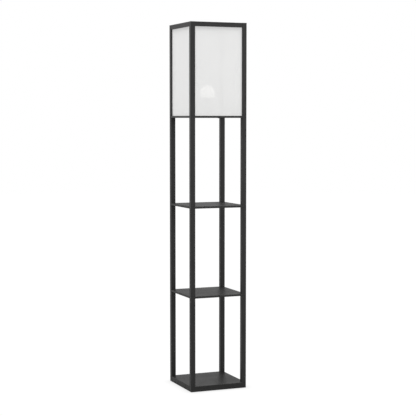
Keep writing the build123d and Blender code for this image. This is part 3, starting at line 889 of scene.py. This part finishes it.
# ---- Bulb cap ----------------------------------------------------------------------
# The screw cap is rolled from thin nickel-plated brass and crimped on to the neck. Black
# glass insulates it from the soldered tip.
tip_low, tip_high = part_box("cap_contact")
cap_low, cap_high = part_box("bulb_screw_cap")
glass_low, glass_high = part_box("cap_insulator")
nickel, nickel_surface = mottled(
    "nickel_cap", ((0.66, 0.65, 0.63), (0.74, 0.73, 0.71)), 300.0, (0.16, 0.26), 0.003 * mm
)
nickel_surface.inputs["Metallic"].default_value = 1.0
cap_radius = cap_high.x
cap_band_low = cap_high.z - 4.0 * mm
cap_thread_low = cap_low.z + 1.4 * mm
cap_foot_radius = 12.3 * mm
cap_band_radius = 12.95 * mm
cap_run_out = 1.6 * mm
cap_foot_curl = ((-0.5 * mm, 12.1 * mm), (-0.5 * mm, 11.8 * mm), (-0.4 * mm, 11.15 * mm))


def carry_ring(piece, level, rise, reach):
    """The open ring of a sheet, at one level, drawn on to a new height and radius."""
    take(piece)
    bpy.ops.object.mode_set(mode="EDIT")
    bpy.ops.mesh.select_mode(type="VERT")
    bpy.ops.mesh.select_all(action="DESELECT")
    bpy.ops.mesh.select_non_manifold()
    bpy.ops.object.mode_set(mode="OBJECT")
    points = piece.data.vertices
    for point in points:
        point.select = point.select and abs(point.co.z - level) < 0.01 * mm
    for edge in piece.data.edges:
        edge.select = all(points[end].select for end in edge.vertices)
    ring = [point.co.copy() for point in points if point.select]
    radius = sum(math.hypot(co.x, co.y) for co in ring) / len(ring)
    bpy.ops.object.mode_set(mode="EDIT")
    bpy.ops.mesh.extrude_region_move(TRANSFORM_OT_translate={"value": (0, 0, rise)})
    bpy.ops.transform.resize(
        value=(reach / radius, reach / radius, 1), center_override=(0, 0, level + rise)
    )
    bpy.ops.object.mode_set(mode="OBJECT")
    return level + rise


screw_cap = helical_sheet(
    "screw_cap",
    round_wave(cap_middle_radius, cap_wave_height, bulb_pitch),
    bulb_pitch,
    cap_thread_low,
    cap_band_low,
    64,
)
for point in screw_cap.data.vertices:
    radius = math.hypot(point.co.x, point.co.y)
    for level, plain in ((cap_thread_low, cap_foot_radius), (cap_band_low, cap_band_radius)):
        share = min(1.0, abs(point.co.z - level) / cap_run_out)
        wanted = plain + (radius - plain) * share * share * (3 - 2 * share)
        point.co.x *= wanted / radius
        point.co.y *= wanted / radius
        radius = wanted
top = carry_ring(screw_cap, cap_band_low, 3.2 * mm, cap_band_radius)
carry_ring(screw_cap, top, 0.8 * mm, cap_radius)
foot = cap_thread_low
for rise, reach in cap_foot_curl:
    foot = carry_ring(screw_cap, foot, rise, reach)
edit_whole()
bpy.ops.mesh.normals_make_consistent(inside=False)
bpy.ops.object.mode_set(mode="OBJECT")
thicken(screw_cap, sheet_metal, -1)
smooth(screw_cap, 50)
screw_cap.data.materials.append(nickel)
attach(screw_cap, "bulb")
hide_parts("bulb_screw_cap")

glass_radius = 10.9 * mm
glass_foot = 5.4 * mm
glass_shoulder = cap_low.z - 0.2 * mm
glass_round = 0.6 * mm
glass_rise = glass_shoulder - glass_low.z - glass_round
stub_bore = 2.5 * mm
stub_play = 0.1 * mm
quarter_turn = [math.radians(15 * step) for step in range(1, 7)]
glass_outline = [
    (stub_bore, glass_low.z),
    *arc((glass_foot - glass_round, glass_low.z + glass_round), glass_round, -90, -20, 4),
    *[
        (
            glass_foot + (glass_radius - glass_foot) * math.sin(turn),
            glass_low.z + glass_round + glass_rise * (1 - math.cos(turn)),
        )
        for turn in quarter_turn
    ],
    (glass_radius, glass_high.z),
    (0, glass_high.z),
    (0, tip_high.z + stub_play),
    (stub_bore, tip_high.z + stub_play),
    (stub_bore, glass_low.z),
]
glass = turned("cap_glass", glass_outline, 64)
smooth(glass)
black_glass, _ = mottled(
    "black_glass", ((0.010, 0.010, 0.012), (0.022, 0.021, 0.026)), 500.0, (0.05, 0.12), 0.01 * mm
)
glass.data.materials.append(black_glass)
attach(glass, "bulb")
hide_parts("cap_insulator")

tip_radius = tip_high.x
tip_stub = 2.4 * mm
button_top = tip_low.z + 1.4 * mm
button_bulge = 1.1 * mm
button_chamfer = 0.1 * mm
tip_outline = [
    (0, tip_low.z),
    *[
        (tip_radius * math.sin(turn), tip_low.z + button_bulge * (1 - math.cos(turn)))
        for turn in quarter_turn
    ],
    (tip_radius, button_top - button_chamfer),
    (tip_radius - button_chamfer, button_top),
    (tip_stub, button_top),
    (tip_stub, tip_high.z),
    (0, tip_high.z),
]
tip = turned("solder_tip", tip_outline, 48)
smooth(tip)
solder, solder_surface = mottled(
    "tin_solder", ((0.46, 0.46, 0.47), (0.66, 0.66, 0.67)), 650.0, (0.28, 0.46), 0.05 * mm
)
solder_surface.inputs["Metallic"].default_value = 1.0
tip.data.materials.append(solder)
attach(tip, "bulb_lift")
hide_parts("cap_contact")


# ---- Bulb housing ------------------------------------------------------------------
# The flared white body of the bulb, moulded in one piece over its driver. A fine groove
# rings it just below the globe.
housing_low, housing_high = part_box("bulb_housing")
housing_rim = housing_high.x
globe_low, globe_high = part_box("bulb_dome")
collar_radius = 14.2 * mm
collar_low = cap_high.z + 0.1 * mm
collar_high = cap_high.z + 2.4 * mm
housing_wall = 1.6 * mm
housing_bow = 1.2 * mm
board_seat = housing_high.z - 3.0 * mm
board_ledge = housing_rim - 3.4 * mm
flank_top = housing_high.z - 4.0 * mm
flank_length = flank_top - collar_high
flank_round = 1.6 * mm
flank_slope = (housing_rim - collar_radius + 4 * housing_bow) / flank_length
neck_radius = 11.6 * mm
neck_wall = 0.5 * mm
flare_steps = 30


def flare(level):
    """Radius of the flank at a height: bowed inwards, then rounded into the upright rim."""
    below = flank_top - level
    if below < -flank_round:
        return housing_rim
    if below < flank_round:
        return housing_rim - flank_slope * (below + flank_round) ** 2 / (4 * flank_round)
    share = 1 - below / flank_length
    straight = collar_radius + (housing_rim - collar_radius) * share
    return straight - housing_bow * 4 * share * (1 - share)


flank_levels = [
    collar_high + (flank_length + flank_round) * step / flare_steps
    for step in range(flare_steps + 1)
]
inner_levels = [level for level in flank_levels if level < board_seat - housing_wall]
groove_level = housing_high.z - 2.0 * mm
groove_floor = housing_rim - 0.35 * mm
collar_chamfer = 0.4 * mm
rim_chamfer = 0.3 * mm
housing_outline = [
    (neck_radius, housing_low.z),
    (neck_radius, collar_low),
    (collar_radius - collar_chamfer, collar_low),
    (collar_radius, collar_low + collar_chamfer),
    *[(flare(level), level) for level in flank_levels],
    (housing_rim, groove_level),
    (groove_floor, groove_level + 0.15 * mm),
    (groove_floor, groove_level + 0.65 * mm),
    (housing_rim, groove_level + 0.8 * mm),
    (housing_rim, housing_high.z - rim_chamfer),
    (housing_rim - rim_chamfer, housing_high.z),
    (housing_rim - housing_wall, housing_high.z),
    (housing_rim - housing_wall, board_seat),
    (board_ledge, board_seat),
    (board_ledge, board_seat - housing_wall),
    *[(min(flare(level) - housing_wall, board_ledge), level) for level in reversed(inner_levels)],
    (neck_radius - neck_wall, collar_low),
    (neck_radius - neck_wall, housing_low.z),
    (neck_radius, housing_low.z),
]
housing = turned("bulb_body", housing_outline, 96)
smooth(housing, 32)
bulb_plastic, _ = mottled(
    "bulb_plastic", ((0.72, 0.72, 0.71), (0.745, 0.745, 0.735)), 220.0, (0.34, 0.4), 0.004 * mm
)
housing.data.materials.append(bulb_plastic)
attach(housing, "bulb")
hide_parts("bulb_housing")


# ---- Bulb globe --------------------------------------------------------------------
# A round opal cover, blown thin and pushed on to the rim of the housing. It glows when the
# lamp is lit, which is how the photograph shows it.
globe_radius = globe_high.x
globe_middle = globe_high.z - globe_radius
globe_wall = 1.4 * mm
globe_inside = globe_radius - globe_wall
globe_foot = globe_low.z - globe_middle
outer_start = math.degrees(math.asin(globe_foot / globe_radius))
inner_start = math.degrees(math.asin(globe_foot / globe_inside))
globe_outline = [
    *arc((0, globe_middle), globe_radius, outer_start, 90, 34),
    *arc((0, globe_middle), globe_inside, 90, inner_start, 30),
]
globe_outline.append(globe_outline[0])
globe = turned("bulb_globe", globe_outline, 96)
smooth(globe)
opal_dome, dome_surface = mottled(
    "opal_dome", ((0.90, 0.89, 0.87), (0.94, 0.93, 0.91)), 900.0, (0.3, 0.4), 0.01 * mm
)
dome_surface.inputs["Emission Color"].default_value = (1.0, 0.97, 0.92, 1)
dome_surface.inputs["Emission Strength"].default_value = 3.2
globe.data.materials.append(opal_dome)
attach(globe, "bulb")
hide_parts("bulb_dome")


# ---- Inside the bulb ---------------------------------------------------------------
# A round white-faced aluminium board carries twelve chips, each a small package with a
# yellow phosphor window. The upright driver board below feeds them.
chips_low, chips_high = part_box("led_chips")
chip_ring = 16.0 * mm
chip_side = 3.0 * mm
chip_count = 12
chip_frame = 0.45 * mm
window_depth = 0.18 * mm
board_white, _ = mottled(
    "board_aluminium", ((0.72, 0.72, 0.71), (0.80, 0.80, 0.79)), 350.0, (0.36, 0.5), 0.02 * mm
)
finish_node("led_board", board_white)
phosphor, phosphor_surface = mottled(
    "led_phosphor", ((0.80, 0.56, 0.06), (0.92, 0.70, 0.14)), 2200.0, (0.4, 0.6), 0.05 * mm
)
phosphor_surface.inputs["Emission Color"].default_value = (1.0, 0.86, 0.55, 1)
phosphor_surface.inputs["Emission Strength"].default_value = 2.0
bpy.ops.object.select_all(action="DESELECT")
bpy.ops.mesh.primitive_cube_add(size=1, location=(0, 0, 0))
chips = bpy.context.object
chips.name = "led_packages"
chips.data.materials.append(board_white)
chips.data.materials.append(phosphor)
edit_whole()
bpy.ops.transform.resize(value=(chip_side, chip_side, chips_high.z - chips_low.z))
bpy.ops.transform.translate(value=(chip_ring, 0, (chips_high.z + chips_low.z) / 2))
bpy.ops.mesh.select_mode(type="FACE")
bpy.ops.mesh.select_all(action="DESELECT")
bpy.ops.object.mode_set(mode="OBJECT")
for face in chips.data.polygons:
    face.select = face.normal.z > 0.5
bpy.ops.object.mode_set(mode="EDIT")
bpy.ops.mesh.inset(thickness=chip_frame)
bpy.ops.mesh.extrude_region_move(TRANSFORM_OT_translate={"value": (0, 0, -window_depth)})
bpy.ops.object.mode_set(mode="OBJECT")
for face in chips.data.polygons:
    face.material_index = 1 if face.select else 0
edit_whole()
for _ in range(chip_count - 1):
    bpy.ops.mesh.duplicate()
    bpy.ops.transform.rotate(
        value=2 * math.pi / chip_count, orient_axis="Z", center_override=(0, 0, chips_low.z)
    )
bpy.ops.mesh.select_mode(type="VERT")
bpy.ops.object.mode_set(mode="OBJECT")
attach(chips, "bulb")
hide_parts("led_chips")
circuit, circuit_surface = mottled(
    "circuit_board", ((0.010, 0.075, 0.030), (0.022, 0.120, 0.050)), 420.0, (0.28, 0.5), 0.04 * mm
)
# The capacitor stands out on one face of the board and the copper choke on the other
parts, links = circuit.node_tree.nodes, circuit.node_tree.links
board_tone = circuit_surface.inputs["Base Color"].links[0].from_socket
place = parts.new("ShaderNodeTexCoord")
sides = parts.new("ShaderNodeSeparateXYZ")
links.new(place.outputs["Object"], sides.inputs["Vector"])
board_face = 0.7 * mm
capacitor_blue = (0.012, 0.016, 0.045, 1)
choke_copper = (0.42, 0.16, 0.06, 1)
for facing, level, tone in (
    ("GREATER_THAN", board_face, capacitor_blue),
    ("LESS_THAN", -board_face, choke_copper),
):
    stands_out = parts.new("ShaderNodeMath")
    stands_out.operation = facing
    stands_out.inputs[1].default_value = level
    links.new(sides.outputs["Y"], stands_out.inputs[0])
    coloured = parts.new("ShaderNodeMix")
    coloured.data_type = "RGBA"
    links.new(stands_out.outputs["Value"], coloured.inputs["Factor"])
    links.new(board_tone, coloured.inputs["A"])
    coloured.inputs["B"].default_value = tone
    board_tone = coloured.outputs["Result"]
links.new(board_tone, circuit_surface.inputs["Base Color"])
finish_node("driver_board", circuit)


# ---- Floor and light ---------------------------------------------------------------
# A plain white paper floor that runs out into the white of the studio, with a faint soft
# painted shadow where the lamp meets it. Three wide softboxes and an even room light the lamp.
floor_radius = 14.0
contact_reach = 0.05
bpy.ops.object.select_all(action="DESELECT")
bpy.ops.mesh.primitive_circle_add(
    vertices=96, radius=floor_radius, fill_type="NGON", location=(0, 0, 0)
)
floor = bpy.context.object
floor.name = "paper_floor"
paper = bpy.data.materials.new("white_paper")
paper.use_nodes = True
parts, links = paper.node_tree.nodes, paper.node_tree.links
paper_surface = parts["Principled BSDF"]
paper_surface.inputs["Roughness"].default_value = 0.9
paper_surface.inputs["Specular IOR Level"].default_value = 0.1
paper_surface.inputs["Base Color"].default_value = (0.38, 0.38, 0.38, 1)
nearness = parts.new("ShaderNodeAmbientOcclusion")
nearness.samples = 24
nearness.inputs["Distance"].default_value = contact_reach
# Painted contact shadow: the white the camera sees is dimmed where the paper is occluded
contact = parts.new("ShaderNodeMapRange")
contact.inputs["From Min"].default_value = 0.35
contact.inputs["To Min"].default_value = 0.78
contact.inputs["To Max"].default_value = 1.02
links.new(nearness.outputs["AO"], contact.inputs["Value"])
# The camera sees the paper burnt out to white, and the lamp gets only its grey bounce
lit_paper = parts.new("ShaderNodeEmission")
links.new(contact.outputs["Result"], lit_paper.inputs["Strength"])
looked_at = parts.new("ShaderNodeLightPath")
run_out = parts.new("ShaderNodeMixShader")
links.new(looked_at.outputs["Is Camera Ray"], run_out.inputs["Fac"])
links.new(paper_surface.outputs["BSDF"], run_out.inputs[1])
links.new(lit_paper.outputs["Emission"], run_out.inputs[2])
links.new(run_out.outputs["Shader"], parts["Material Output"].inputs["Surface"])
floor.data.materials.append(paper)

studio = bpy.data.worlds.new("studio")
bpy.context.scene.world = studio
studio.use_nodes = True
parts, links = studio.node_tree.nodes, studio.node_tree.links
room = parts["Background"]
room.inputs["Color"].default_value = (1, 1, 1, 1)
room.inputs["Strength"].default_value = 0.46
# The camera sees a pure white backdrop, brighter than the room that lights the lamp
backdrop = parts.new("ShaderNodeBackground")
backdrop.inputs["Color"].default_value = (1, 1, 1, 1)
backdrop.inputs["Strength"].default_value = 1.0
looked_at = parts.new("ShaderNodeLightPath")
both = parts.new("ShaderNodeMixShader")
links.new(looked_at.outputs["Is Camera Ray"], both.inputs["Fac"])
links.new(room.outputs["Background"], both.inputs[1])
links.new(backdrop.outputs["Background"], both.inputs[2])
links.new(both.outputs["Shader"], parts["World Output"].inputs["Surface"])

middle_of_lamp = Vector((0, 0, 0.9))
for name, place, width, watts in (
    ("overhead_softbox", (0, 0, 4.2), 4.0, 190),
    ("front_softbox", (2.6, -4.2, 1.2), 3.2, 32),
    ("side_softbox", (-3.4, 3.6, 1.2), 2.6, 21),
):
    bpy.ops.object.select_all(action="DESELECT")
    aim = (middle_of_lamp - Vector(place)).to_track_quat("-Z", "Y").to_euler()
    bpy.ops.object.light_add(type="AREA", location=place, rotation=aim)
    softbox = bpy.context.object
    softbox.name = name
    softbox.data.size = width
    softbox.data.energy = watts
    softbox.visible_camera = False
bpy.context.scene.view_settings.view_transform = "Standard"
